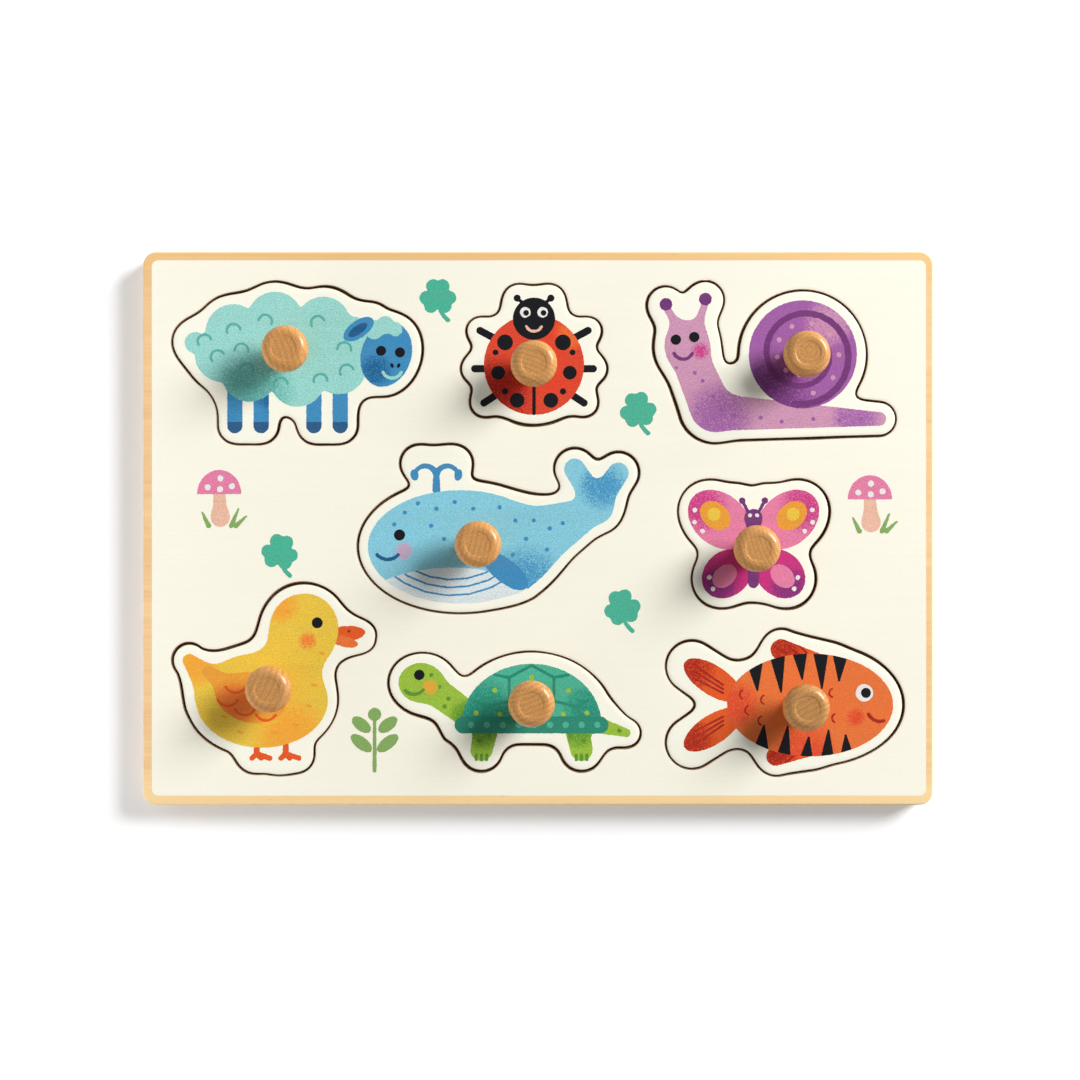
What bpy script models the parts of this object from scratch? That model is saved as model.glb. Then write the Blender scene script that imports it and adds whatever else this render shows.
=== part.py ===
"""A knobbed wooden peg puzzle: a two-layer plywood tray and eight lift-out figures.

The tray is a front board with eight cut-outs, glued on a plain backing board. Each cut-out holds
a figure cut from the same plywood. Each figure carries a turned beech knob, which a countersunk
screw holds from the figure's underside.

Metres, +Z up. The origin is at the middle of the tray's underside, with +X along its long side.
Every figure is drawn in millimetres about its own origin, as discs, ovals and bars. Its outline is
the line that runs at a constant distance round that drawing, with the hollows between the shapes
blended smooth. The cut-out in the front board is the same outline, grown by the clearance.
"""

import math
from collections import namedtuple

import bmesh
import bpy
from mathutils import Vector

# The tray.
BOARD_LENGTH = 0.300
BOARD_WIDTH = 0.210
BOARD_CORNER_RADIUS = 0.005
BOARD_EDGE_ROUNDING = 0.0006
FRONT_THICKNESS = 0.005
BACKING_THICKNESS = 0.0027
SEAT_GAP = 0.0003  # left between faces that are glued, screwed or laid on each other
RIM_TO_FIGURES = 0.0115  # from the tray's edge to the outer figures

# The figures.
FIGURE_THICKNESS = 0.005
FIGURE_EDGE_ROUNDING = 0.0007
PRINT_MARGIN = 0.0036  # bare wood round the drawing
HOLLOW_BLEND = 0.006  # how far apart two shapes are when the hollow between them starts to fill
RECESS_CLEARANCE = 0.0005
REST_SHARE = 0.4  # the share of that clearance by which a figure has slid to one side
OUTLINE_STEP = 0.0042

# The figures are drawn for a tray of this length and width in millimetres. They shrink or grow
# with the tray, as far as both its sides allow.
DRAWN_FOR = (300.0, 210.0)
DRAWING_UNIT = min(BOARD_LENGTH / DRAWN_FOR[0], BOARD_WIDTH / DRAWN_FOR[1])

# The knobs, turned from beech.
KNOB_RADIUS = 0.00875
KNOB_TOP_RADIUS = 0.0056
KNOB_NECK_RADIUS = 0.0042
KNOB_FOOT_RADIUS = 0.0058
KNOB_HEIGHT = 0.0137
KNOB_RIM_LEVEL = 0.0091  # from the foot to the lower edge of the widest ring
KNOB_RIM_THICKNESS = 0.0008
KNOB_FOOT_THICKNESS = 0.0007
KNOB_TOP_DISH = 0.0003

# The screws, which come up through the figures into the knobs.
SCREW_RADIUS = 0.0015
SCREW_LENGTH = 0.0140
SCREW_TIP_LENGTH = 0.0030
SCREW_HEAD_RADIUS = 0.0029
SCREW_HEAD_LAND = 0.0003
SCREW_CONE_HEIGHT = 0.0014
SCREW_SINK = 0.0003  # the head lies this far inside the figure's underside
SCREW_CLEARANCE = 0.0002  # round the screw, in the figure
PILOT_CLEARANCE = 0.0001  # round the screw, in the knob
PILOT_EXTRA_DEPTH = 0.0008
CROSS_LENGTH = 0.0034
CROSS_WIDTH = 0.0008
CROSS_DEPTH = 0.0009

# How finely round shapes are cut into facets.
KNOB_SIDES = 24
SCREW_SIDES = 12
CORNER_STEPS = 6
NECK_STEPS = 6
SHOULDER_STEPS = 3

# Heights that follow from the sizes above.
FRONT_BOTTOM = BACKING_THICKNESS + SEAT_GAP
FIGURE_BOTTOM = BACKING_THICKNESS + SEAT_GAP
FIGURE_TOP = FIGURE_BOTTOM + FIGURE_THICKNESS
KNOB_BOTTOM = FIGURE_TOP + SEAT_GAP
SCREW_BOTTOM = FIGURE_BOTTOM + SCREW_SINK

# Linear colours of the wood, the screws and the printed figures.
BIRCH = (0.86, 0.62, 0.33)
CREAM = (0.98, 0.94, 0.78)
BEECH = (0.55, 0.30, 0.13)
STEEL = (0.60, 0.60, 0.62)

Figure = namedtuple("Figure", "name drawing knob column row nudge rests_towards ink")


# The shapes that drawings are made of. Each is a function that gives a point's distance from the
# shape's edge in millimetres, below zero inside it.


def disc(x, y, radius):
    return lambda px, py: math.hypot(px - x, py - y) - radius


def bar(start, start_radius, end, end_radius):
    """A straight bar with round ends, which may differ in radius."""
    (x, y), (end_x, end_y) = start, end
    run_x, run_y = end_x - x, end_y - y
    span = run_x * run_x + run_y * run_y

    def distance(px, py):
        along = ((px - x) * run_x + (py - y) * run_y) / span
        along = max(0.0, min(1.0, along))
        radius = start_radius + (end_radius - start_radius) * along
        return math.hypot(px - x - along * run_x, py - y - along * run_y) - radius

    return distance


def oval(x, y, half_length, half_height, turn=0.0):
    """An ellipse, turned anticlockwise by that many degrees."""
    cosine, sine = math.cos(math.radians(turn)), math.sin(math.radians(turn))

    def distance(px, py):
        along = (px - x) * cosine + (py - y) * sine
        across = (py - y) * cosine - (px - x) * sine
        scale = math.hypot(along / half_length, across / half_height)
        if scale < 1e-6:
            return -min(half_length, half_height)
        slope = math.hypot(along / half_length**2, across / half_height**2)
        return scale * (scale - 1.0) / slope

    return distance


def above(level, shape):
    """The part of a shape that lies above a level."""
    return lambda px, py: max(shape(px, py), level - py)


def blended(shapes, reach):
    """The shapes as one, with the hollows between them filled smoothly."""

    def distance(px, py):
        found = shapes[0](px, py)
        for shape in shapes[1:]:
            other = shape(px, py)
            overlap = max(reach - abs(found - other), 0.0) / reach
            found = min(found, other) - overlap * overlap * reach / 4.0
        return found

    return distance


# The eight figures, in millimetres.


def draw_sheep():
    fleece_puffs = 8
    shapes = [oval(-7, 4, 26, 14)]
    for i in range(fleece_puffs):
        turn = math.radians(10) + math.tau * i / fleece_puffs
        shapes.append(disc(-7 + 24.5 * math.cos(turn), 4 + 11.5 * math.sin(turn), 10.5))
    for leg_x in (-26, -17, 4, 13):
        shapes.append(bar((leg_x, -12), 3.4, (leg_x, -25), 3.2))
    face = oval(31, 2, 9.5, 12.5, -18)
    ear = oval(21, 12, 7, 3.6, 35)
    tail = disc(-42, 7, 4.5)
    return shapes + [face, ear, tail]


def draw_ladybird():
    shapes = [disc(0, -2.5, 19), disc(0, 15, 8)]
    for side in (-1, 1):
        shapes.append(bar((3 * side, 20), 0.9, (6.5 * side, 23), 0.9))
        shapes.append(bar((14 * side, 7), 1.4, (20.5 * side, 10.5), 1.4))
        shapes.append(bar((17 * side, -4), 1.4, (22.5 * side, -4), 1.4))
        shapes.append(bar((13 * side, -13), 1.4, (19 * side, -17), 1.4))
    return shapes


def draw_snail():
    shell = disc(10, 4, 20.5)
    foot = bar((39, -20.5), 2.6, (-22, -18), 7)
    neck = bar((-25, -16), 8, (-33, 3), 7)
    chest = disc(-14, -11, 6.5)
    head = disc(-34, 8, 8.5)
    horns = []
    for foot_x, tip_x, tip_y in ((-37, -42, 22), (-30, -27, 24)):
        horns.append(bar((foot_x, 14), 1.6, (tip_x, tip_y), 1.3))
        horns.append(disc(tip_x, tip_y + 1, 2.4))
    return [shell, foot, neck, chest, head] + horns


def draw_whale():
    body = oval(-13, -5, 35, 21.5)
    tail = bar((6, -6), 15, (38, 9), 5)
    flukes = [bar((39, 11), 4.5, tip, 4) for tip in ((47, 23), (30.5, 24.5))]
    spout = bar((-22, 15), 1.6, (-22, 26), 1.6)
    drops = [disc(x, 26.5, 3.4) for x in (-28.5, -15.5)]
    return [body, tail, spout] + flukes + drops


def draw_butterfly():
    shapes = [bar((0, 10), 2.8, (0, -14), 2)]
    for side in (-1, 1):
        shapes.append(oval(13 * side, 10, 13.2, 9.8, 40 * side))
        shapes.append(oval(10 * side, -10.5, 10.5, 8.5, -42 * side))
        shapes.append(bar((1 * side, 12), 0.9, (4.5 * side, 18), 0.9))
    return shapes


def draw_duck():
    body = oval(-5, -10, 25, 18)
    tail = bar((-24, -4), 7, (-32.5, 5), 2.6)
    neck = bar((10, 12), 11, (2, -4), 13)
    head = disc(11, 17.5, 13)
    bill = oval(27.5, 14.5, 7, 3.8, -6)
    feet = []
    for foot_x in (-7, 4):
        feet.append(bar((foot_x, -26), 1.6, (foot_x, -31), 1.6))
        feet.append(bar((foot_x - 1, -31), 1.7, (foot_x + 5, -31.5), 1.7))
    return [body, tail, neck, head, bill] + feet


def draw_turtle():
    shell = above(-10, oval(5, -10, 28, 24))
    rim = bar((-21, -10), 3.2, (31, -10), 3.2)
    neck = bar((-18, -7), 5, (-33, 4), 5.5)
    head = oval(-37, 6, 8.5, 7.5)
    tail = bar((30, -10), 3.2, (41, -13), 1.6)
    legs = [bar((x, -10), 4.8, (x + lean, -19.5), 4.2) for x, lean in ((-12, -2), (22, 2))]
    return [shell, rim, neck, head, tail] + legs


def draw_fish():
    body = oval(8, 0, 31.5, 19.5)
    tail = [bar((-18, 2 * side), 6.5, (-37, 14.5 * side), 6) for side in (-1, 1)]
    back_fin = bar((12, 13), 6, (-3, 21), 4)
    belly_fin = bar((6, -15), 5, (-5, -19.5), 3.6)
    return [body, back_fin, belly_fin] + tail


# Columns and rows are counted from the middle: -1 is left or bottom, 1 is right or top. The nudge
# and the knob's place are in millimetres, and rests_towards is in degrees.
FIGURES = (
    Figure("sheep", draw_sheep, (-6, 3), -1, 1, (0, 0), 200, (0.33, 0.70, 0.64)),
    Figure("ladybird", draw_ladybird, (0, -3), 0, 1, (-1.5, -1), 95, (0.76, 0.08, 0.04)),
    Figure("snail", draw_snail, (10, 3), 1, 1, (-3, 0), 20, (0.63, 0.32, 0.47)),
    Figure("whale", draw_whale, (-6, -4), 0, 0, (-15, 0), 250, (0.19, 0.58, 0.75)),
    Figure("butterfly", draw_butterfly, (0, -1), 1, 0, (-28, -6), 160, (0.82, 0.22, 0.39)),
    Figure("duck", draw_duck, (-1, -5), -1, -1, (0, 0), 300, (0.95, 0.57, 0.06)),
    Figure("turtle", draw_turtle, (5, -1), 0, -1, (-9, 1.5), 60, (0.30, 0.55, 0.06)),
    Figure("fish", draw_fish, (5, 0), 1, -1, (0, 0), 230, (0.88, 0.19, 0.05)),
)


def slope(shape, x, y):
    """The direction in which the distance grows fastest at a point."""
    reach = 0.001
    return Vector(
        (
            (shape(x + reach, y) - shape(x - reach, y)) / (2 * reach),
            (shape(x, y + reach) - shape(x, y - reach)) / (2 * reach),
        )
    )


def settled(shape, level, point):
    """The nearest point at which the shape's distance is the level."""
    for _ in range(6):
        uphill = slope(shape, point.x, point.y)
        point = point - uphill * ((shape(point.x, point.y) - level) / max(uphill.length_squared, 1e-9))
    return point


def level_line(shape, level, step):
    """Points a step apart, all at one distance from a shape, anticlockwise and closed."""
    point = Vector((-2 * BOARD_LENGTH / DRAWING_UNIT, 0.0))
    while shape(point.x, point.y) > level + step:
        point.x += (shape(point.x, point.y) - level) / 2
    point = settled(shape, level, point)
    line = [point]
    most_points = 2000
    while len(line) < most_points:
        uphill = slope(shape, point.x, point.y).normalized()
        point = settled(shape, level, point + Vector((-uphill.y, uphill.x)) * step)
        if len(line) > 4 and (point - line[0]).length < 0.75 * step:
            break
        line.append(point)
    return line


def grown(line, distance):
    """A closed anticlockwise line moved outwards by a distance."""
    result = []
    for i, point in enumerate(line):
        along = line[(i + 1) % len(line)] - line[i - 1]
        result.append(point + Vector((along.y, -along.x)).normalized() * distance)
    return result


def figure_outline(figure):
    """The figure's outline in metres, and its middle, both in the drawing's own place."""
    shape = blended(figure.drawing(), HOLLOW_BLEND / DRAWING_UNIT)
    line = level_line(shape, PRINT_MARGIN / DRAWING_UNIT, OUTLINE_STEP / DRAWING_UNIT)
    line = [point * DRAWING_UNIT for point in line]
    low = Vector((min(p.x for p in line), min(p.y for p in line)))
    high = Vector((max(p.x for p in line), max(p.y for p in line)))
    return line, (low + high) / 2, (high - low) / 2


def drawing_place(figure, middle, half_size):
    """Where on the tray the drawing's own origin lies."""
    to_edge = Vector((BOARD_LENGTH, BOARD_WIDTH)) / 2 - Vector((RIM_TO_FIGURES, RIM_TO_FIGURES))
    side = Vector((figure.column * (to_edge.x - half_size.x), figure.row * (to_edge.y - half_size.y)))
    return side + Vector(figure.nudge) * DRAWING_UNIT - middle


def material(name, colour, roughness, metallic=0.0):
    made = bpy.data.materials.new(name)
    made.use_nodes = True
    shader = made.node_tree.nodes["Principled BSDF"]
    shader.inputs["Base Color"].default_value = (*colour, 1.0)
    shader.inputs["Roughness"].default_value = roughness
    shader.inputs["Metallic"].default_value = metallic
    made.diffuse_color = (*colour, 1.0)
    return made


def smooth(mesh):
    sharp_above = math.radians(40)
    mesh.shade_smooth()
    mesh.set_sharp_from_angle(angle=sharp_above)


def plate_mesh(name, lines, thickness):
    """A flat plate from z = 0 up, bounded by closed lines: its outline, and any cut-outs."""
    curve = bpy.data.curves.new(name, "CURVE")
    curve.dimensions = "2D"
    curve.fill_mode = "BOTH"
    curve.extrude = thickness / 2
    for line in lines:
        spline = curve.splines.new("POLY")
        spline.points.add(len(line) - 1)
        for point, place in zip(spline.points, line):
            point.co = (place.x, place.y, 0.0, 1.0)
        spline.use_cyclic_u = True
    drawn = bpy.data.objects.new(name, curve)
    bpy.context.scene.collection.objects.link(drawn)
    bpy.context.view_layer.update()
    mesh = bpy.data.meshes.new_from_object(drawn.evaluated_get(bpy.context.evaluated_depsgraph_get()))
    bpy.data.objects.remove(drawn)
    solid = bmesh.new()
    solid.from_mesh(mesh)
    bmesh.ops.remove_doubles(solid, verts=solid.verts, dist=1e-6)
    bmesh.ops.translate(solid, verts=solid.verts, vec=(0, 0, thickness / 2))
    bmesh.ops.recalc_face_normals(solid, faces=solid.faces)
    solid.to_mesh(mesh)
    solid.free()
    mesh.name = name
    return mesh


def round_over(mesh, level, rounding, on_rim):
    """Softens the right-angled edges at a level, where on_rim says that both ends are on the rim."""
    solid = bmesh.new()
    solid.from_mesh(mesh)
    bmesh.ops.dissolve_limit(solid, angle_limit=math.radians(1), verts=solid.verts, edges=solid.edges)
    edges = [
        edge
        for edge in solid.edges
        if all(abs(corner.co.z - level) < 1e-6 and on_rim(corner.co) for corner in edge.verts)
        and edge.calc_face_angle(0.0) > math.radians(60)
    ]
    bmesh.ops.bevel(solid, geom=edges, offset=rounding, segments=1, affect="EDGES")
    solid.to_mesh(mesh)
    solid.free()
    smooth(mesh)


def rounded_rectangle():
    """The tray's outline."""
    line = []
    for quarter in range(4):
        from_turn = quarter * math.pi / 2
        side_x = (1, -1, -1, 1)[quarter]
        side_y = (1, 1, -1, -1)[quarter]
        centre = Vector(
            (
                side_x * (BOARD_LENGTH / 2 - BOARD_CORNER_RADIUS),
                side_y * (BOARD_WIDTH / 2 - BOARD_CORNER_RADIUS),
            )
        )
        for i in range(CORNER_STEPS + 1):
            turn = from_turn + math.pi / 2 * i / CORNER_STEPS
            line.append(centre + Vector((math.cos(turn), math.sin(turn))) * BOARD_CORNER_RADIUS)
    return line


def on_tray_edge(place):
    near = BOARD_CORNER_RADIUS + 1e-5
    return abs(place.x) > BOARD_LENGTH / 2 - near or abs(place.y) > BOARD_WIDTH / 2 - near


def add_object(name, mesh, place, made_of, collection, parent=None):
    thing = bpy.data.objects.new(name, mesh)
    if made_of and not mesh.materials:
        mesh.materials.append(made_of)
    thing.location = place
    thing.parent = parent
    collection.objects.link(thing)
    return thing


def turned_object(name, profile, sides, collection):
    """A profile of (radius, height) pairs, from the top down its outer side, turned round Z."""
    mesh = bpy.data.meshes.new(name)
    points = [(radius, 0.0, height) for radius, height in profile]
    mesh.from_pydata(points, [(i, i + 1) for i in range(len(points) - 1)], [])
    thing = bpy.data.objects.new(name, mesh)
    collection.objects.link(thing)
    screw = thing.modifiers.new("turned", "SCREW")
    screw.axis = "Z"
    screw.steps = screw.render_steps = sides
    screw.use_merge_vertices = True
    screw.merge_threshold = 1e-5
    screw.use_smooth_shade = True
    return thing


def solid_mesh(thing):
    """The object's mesh with its modifiers applied, and the object removed."""
    bpy.context.view_layer.update()
    mesh = bpy.data.meshes.new_from_object(thing.evaluated_get(bpy.context.evaluated_depsgraph_get()))
    mesh.name = thing.name
    bpy.data.objects.remove(thing)
    return mesh


def knob_profile():
    """A flat top with a faint dish, a rounded shoulder, a rim, a waisted neck and a flared foot."""
    rim_top = KNOB_RIM_LEVEL + KNOB_RIM_THICKNESS
    profile = [(0.0, KNOB_HEIGHT - KNOB_TOP_DISH), (0.8 * KNOB_TOP_RADIUS, KNOB_HEIGHT - KNOB_TOP_DISH)]
    for i in range(SHOULDER_STEPS + 1):
        turn = math.pi / 2 * i / SHOULDER_STEPS
        radius = KNOB_TOP_RADIUS + (KNOB_RADIUS - KNOB_TOP_RADIUS) * math.sin(turn)
        profile.append((radius, rim_top + (KNOB_HEIGHT - rim_top) * math.cos(turn)))
    profile.append((KNOB_RADIUS, KNOB_RIM_LEVEL))
    for i in range(1, NECK_STEPS + 1):
        turn = math.pi * i / NECK_STEPS
        widest = KNOB_RADIUS if i < NECK_STEPS / 2 else KNOB_FOOT_RADIUS
        radius = KNOB_NECK_RADIUS + (widest - KNOB_NECK_RADIUS) * (1 + math.cos(2 * turn)) / 2
        height = KNOB_FOOT_THICKNESS + (KNOB_RIM_LEVEL - KNOB_FOOT_THICKNESS) * (1 - i / NECK_STEPS)
        profile.append((radius, height))
    pilot_radius = SCREW_RADIUS + PILOT_CLEARANCE
    screw_reach = SCREW_BOTTOM + SCREW_LENGTH - KNOB_BOTTOM
    profile.append((KNOB_FOOT_RADIUS, 0.0))
    profile.append((pilot_radius, 0.0))
    profile.append((pilot_radius, screw_reach - SCREW_TIP_LENGTH + PILOT_EXTRA_DEPTH))
    profile.append((0.0, screw_reach + PILOT_EXTRA_DEPTH))
    return profile


def screw_head_cone(clearance):
    """The cone under the screw's head, which the screw and the hole for it share."""
    return [
        (SCREW_RADIUS + clearance, SCREW_HEAD_LAND + SCREW_CONE_HEIGHT + clearance),
        (SCREW_HEAD_RADIUS + clearance, SCREW_HEAD_LAND + clearance),
    ]


def screw_profile():
    """A countersunk screw that stands on its head, with the tip up."""
    tip = [(0.0, SCREW_LENGTH), (SCREW_RADIUS, SCREW_LENGTH - SCREW_TIP_LENGTH)]
    return tip + screw_head_cone(0.0) + [(SCREW_HEAD_RADIUS, 0.0), (0.0, 0.0)]


def screw_hole_profile():
    """The hole through a figure, countersunk from below. It runs past both faces."""
    top = FIGURE_THICKNESS + SCREW_SINK
    bottom = -2 * SCREW_SINK
    shank = [(0.0, top), (SCREW_RADIUS + SCREW_CLEARANCE, top)]
    mouth = [(SCREW_HEAD_RADIUS + SCREW_CLEARANCE, bottom), (0.0, bottom)]
    return shank + screw_head_cone(SCREW_CLEARANCE) + mouth


def cross_cutter(cutters):
    """Two crossed bars that cut the driver's recess in the screw's head."""
    solid = bmesh.new()
    for size in ((CROSS_LENGTH, CROSS_WIDTH), (CROSS_WIDTH, CROSS_LENGTH)):
        cube = bmesh.ops.create_cube(solid, size=1.0)["verts"]
        bmesh.ops.scale(solid, verts=cube, vec=(size[0], size[1], 2 * CROSS_DEPTH))
    mesh = bpy.data.meshes.new("cross_cutter")
    solid.to_mesh(mesh)
    solid.free()
    return as_cutter(add_object("cross_cutter", mesh, (0, 0, 0), None, cutters))


def as_cutter(thing):
    thing.hide_render = True
    thing.display_type = "WIRE"
    return thing


def cut(thing, cutter, self_intersecting=False):
    boolean = thing.modifiers.new("cut_by_" + cutter.name, "BOOLEAN")
    boolean.operation = "DIFFERENCE"
    boolean.solver = "EXACT"
    boolean.use_self = self_intersecting
    boolean.object = cutter


def build():
    for thing in list(bpy.data.objects):
        bpy.data.objects.remove(thing)
    puzzle = bpy.data.collections.new("wooden_puzzle")
    cutters = bpy.data.collections.new("cutters")
    bpy.context.scene.collection.children.link(puzzle)
    bpy.context.scene.collection.children.link(cutters)

    birch = material("birch_plywood", BIRCH, 0.6)
    print_ground = material("printed_birch", CREAM, 0.5)
    beech = material("varnished_beech", BEECH, 0.25)
    steel = material("zinc_plated_steel", STEEL, 0.35, metallic=1.0)

    knob_mesh = solid_mesh(turned_object("knob", knob_profile(), KNOB_SIDES, puzzle))
    smooth(knob_mesh)
    screw = turned_object("screw", screw_profile(), SCREW_SIDES, puzzle)
    cut(screw, cross_cutter(cutters), self_intersecting=True)
    screw_mesh = solid_mesh(screw)
    smooth(screw_mesh)
    hole_mesh = solid_mesh(turned_object("screw_hole", screw_hole_profile(), SCREW_SIDES, cutters))

    recess_lines = []
    for figure in FIGURES:
        line, middle, half_size = figure_outline(figure)
        place = drawing_place(figure, middle, half_size)
        recess_lines.append([point + place for point in grown(line, RECESS_CLEARANCE)])

        turn = math.radians(figure.rests_towards)
        shift = Vector((math.cos(turn), math.sin(turn))) * (REST_SHARE * RECESS_CLEARANCE)
        knob_point = Vector(figure.knob) * DRAWING_UNIT
        axis = place + knob_point + shift
        lift = bpy.data.objects.new(figure.name + "_lift", None)
        lift.location = (axis.x, axis.y, 0.0)
        puzzle.objects.link(lift)

        ink = material(figure.name + "_print", figure.ink, 0.5)
        piece_mesh = plate_mesh(figure.name, [[point - knob_point for point in line]], FIGURE_THICKNESS)
        round_over(piece_mesh, FIGURE_THICKNESS, FIGURE_EDGE_ROUNDING, lambda place: True)
        piece = add_object(figure.name + "_piece", piece_mesh, (0, 0, FIGURE_BOTTOM), ink, puzzle, lift)
        hole = add_object(figure.name + "_hole", hole_mesh, (0, 0, SCREW_BOTTOM), None, cutters, lift)
        cut(piece, as_cutter(hole))
        add_object(figure.name + "_knob", knob_mesh, (0, 0, KNOB_BOTTOM), beech, puzzle, lift)
        add_object(figure.name + "_screw", screw_mesh, (0, 0, SCREW_BOTTOM), steel, puzzle, lift)

    front_mesh = plate_mesh("front_board", [rounded_rectangle()] + recess_lines, FRONT_THICKNESS)
    round_over(front_mesh, FRONT_THICKNESS, BOARD_EDGE_ROUNDING, on_tray_edge)
    add_object("front_board", front_mesh, (0, 0, FRONT_BOTTOM), print_ground, puzzle)
    backing_mesh = plate_mesh("backing_board", [rounded_rectangle()], BACKING_THICKNESS)
    round_over(backing_mesh, 0.0, BOARD_EDGE_ROUNDING, on_tray_edge)
    add_object("backing_board", backing_mesh, (0, 0, 0), birch, puzzle)


build()
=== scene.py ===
"""The looks of a wooden knob puzzle: plywood boards, printed figures, turned knobs and screws.

Every figure is drawn in millimetres about its own origin, as fields: functions that give a
point's distance from a shape's edge, below zero inside it. The outlines of the plywood come from
the same discs, ovals and bars as in the CAD. The prints are thin slabs of ink on the wood.
"""

import math
from collections import namedtuple

import bmesh
import bpy
import numpy as np
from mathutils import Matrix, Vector
from mathutils.geometry import tessellate_polygon


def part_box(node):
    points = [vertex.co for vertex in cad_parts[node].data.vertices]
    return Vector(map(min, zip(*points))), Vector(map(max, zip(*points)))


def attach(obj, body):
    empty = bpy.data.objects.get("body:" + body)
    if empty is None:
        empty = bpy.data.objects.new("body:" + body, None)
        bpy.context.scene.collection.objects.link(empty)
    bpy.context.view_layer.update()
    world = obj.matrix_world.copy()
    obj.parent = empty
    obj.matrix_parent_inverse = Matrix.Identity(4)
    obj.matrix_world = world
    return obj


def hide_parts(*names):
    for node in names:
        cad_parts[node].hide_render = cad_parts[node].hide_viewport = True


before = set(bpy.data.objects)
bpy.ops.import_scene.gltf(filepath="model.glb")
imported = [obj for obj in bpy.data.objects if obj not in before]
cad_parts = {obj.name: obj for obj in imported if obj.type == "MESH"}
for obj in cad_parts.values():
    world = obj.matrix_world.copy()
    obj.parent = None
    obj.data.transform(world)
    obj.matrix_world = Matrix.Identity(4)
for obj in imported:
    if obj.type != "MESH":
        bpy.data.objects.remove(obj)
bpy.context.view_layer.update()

MM = 0.001

# Sizes that the CAD has too, in millimetres.
BOARD_CORNER_RADIUS = 5.0
PRINT_MARGIN = 3.6
HOLLOW_BLEND = 6.0
RECESS_CLEARANCE = 0.5
REST_SHARE = 0.4  # the share of that clearance by which a figure has slid to one side
KNOB_TOP_RADIUS = 5.6
KNOB_NECK_RADIUS = 4.2
KNOB_FOOT_RADIUS = 5.8
KNOB_RIM_LEVEL = 9.1
KNOB_RIM_THICKNESS = 0.8
KNOB_FOOT_THICKNESS = 0.7

# The screw's hole as the CAD cuts it: the clearance is in these, and the head's sink in the depth.
SCREW_HOLE_RADIUS = 1.7
SCREW_HEAD_HOLE_RADIUS = 3.1
SCREW_HEAD_HOLE_DEPTH = 0.8
SCREW_CONE_HEIGHT = 1.4

# What the finish adds or has otherwise, in millimetres.
BORDER = (3.05, 3.4)  # bare wood round the printed ground, at the ends and along the sides
PRINT_SHIFT = Vector((0.35, 0.19))  # how far the print lies off the middle of the board
GROUND_CORNER_RADIUS = 2.4
FIGURE_CROWN = (2.3, 0.18)  # how far in from the edge the top starts to fall, and how deep it goes
BOARD_CROWN = (1.4, 0.11)  # the same beside the board's cut-outs
FIGURE_ROUNDING = (0.5, 0.4)
FIGURE_LOWER_ROUNDING = 0.25
BOARD_ROUNDING = (0.6, 0.6)
KNOB_TOP_DISH = 0.2  # the CAD's is 0.3 deep
KNOB_RIM_EASE = 0.15
KNOB_FOOT_EASE = 0.12
BURN_WIDTH = 1.2  # scorched by the cut
CHAR_WIDTH = 0.24 * BURN_WIDTH  # burnt dark
INK_SINK = 0.05
INK_STEP = 0.008
KERF_SPARE = 0.1  # how much wider than planned the cut came out
RECESS_WOBBLE = 0.12  # how far the cut wanders round a cut-out
FIGURE_WOBBLE = 0.3 * RECESS_WOBBLE
PRINT_WOBBLE = 0.05

# How finely lines are drawn, in millimetres, and how many sides round forms have.
INK_PITCH = 0.28
PLATE_PITCH = 0.5
RAGGED = 0.05  # how far an ink's edge strays
BLACK_RAGGED = 0.3 * RAGGED
FIGURE_REACH = 62.0  # from a figure's origin, beyond every outline
GROUND_INSETS = (1.2, 1.0, 0.84, 0.7, 0.54, 0.45, 0.36, 0.29, 0.22, 0.14, 0.07, 0.03)
HOLE_SIDES = 48
KNOB_SIDES = 96

# Where random draws start.
PRINT_SEED = 7
FIRST_FIGURE_SEED = 10
RECESS_SEEDS = 100  # added to a figure's own seed

# The stage, in metres, and the white light from all round.
FLOOR_HALF = 3.0
FLOOR_DROP = 0.0001
AMBIENT = 0.205

# Two strips of the border's wood: where the tone starts and is full, its share and its colour.
BORDER_STRIPS = ((0.09, 0.1, 0.4, (0.83, 0.49, 0.165)), (-0.09, -0.1, 0.5, (1.0, 0.80, 0.42)))

PALETTE = {
    "ground": (254, 249, 232),
    "margin": (254, 251, 235),
    "black": (26, 27, 31),
    "white": (250, 248, 240),
    "aqua": (155, 218, 210),
    "deep_aqua": (92, 178, 170),
    "blue": (61, 143, 193),
    "navy": (32, 92, 140),
    "red": (223, 71, 48),
    "dark_red": (170, 38, 32),
    "peach": (250, 190, 165),
    "lilac": (208, 152, 183),
    "purple": (161, 96, 168),
    "dark_purple": (115, 56, 121),
    "magenta": (203, 50, 130),
    "sky": (136, 206, 225),
    "pale_sky": (222, 240, 244),
    "pink": (234, 130, 168),
    "amber": (246, 161, 59),
    "yellow": (249, 199, 71),
    "orange": (243, 118, 60),
    "deep_orange": (236, 92, 40),
    "green": (156, 195, 65),
    "dark_green": (92, 150, 52),
    "teal": (75, 182, 153),
    "dark_teal": (38, 140, 118),
    "leaf": (135, 174, 98),
}

Ink = namedtuple("Ink", "shape colour shades")
Shade = namedtuple("Shade", "x y radius colour")
Ring = namedtuple("Ring", "outset height surface burn", defaults=(0, 0.0))


def linear(colour):
    """A colour of 0 to 255 in sRGB as the linear values that shaders take."""
    parts = [value / 255 for value in colour]
    return tuple(p / 12.92 if p <= 0.04045 else ((p + 0.055) / 1.055) ** 2.4 for p in parts)


# Fields. They take and return arrays.


def disc(x, y, radius):
    return lambda px, py: np.hypot(px - x, py - y) - radius


def polar(distance, turn, x=0.0, y=0.0):
    """The point that lies at a distance and a direction, in radians, from another."""
    return x + distance * math.cos(turn), y + distance * math.sin(turn)


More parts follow.
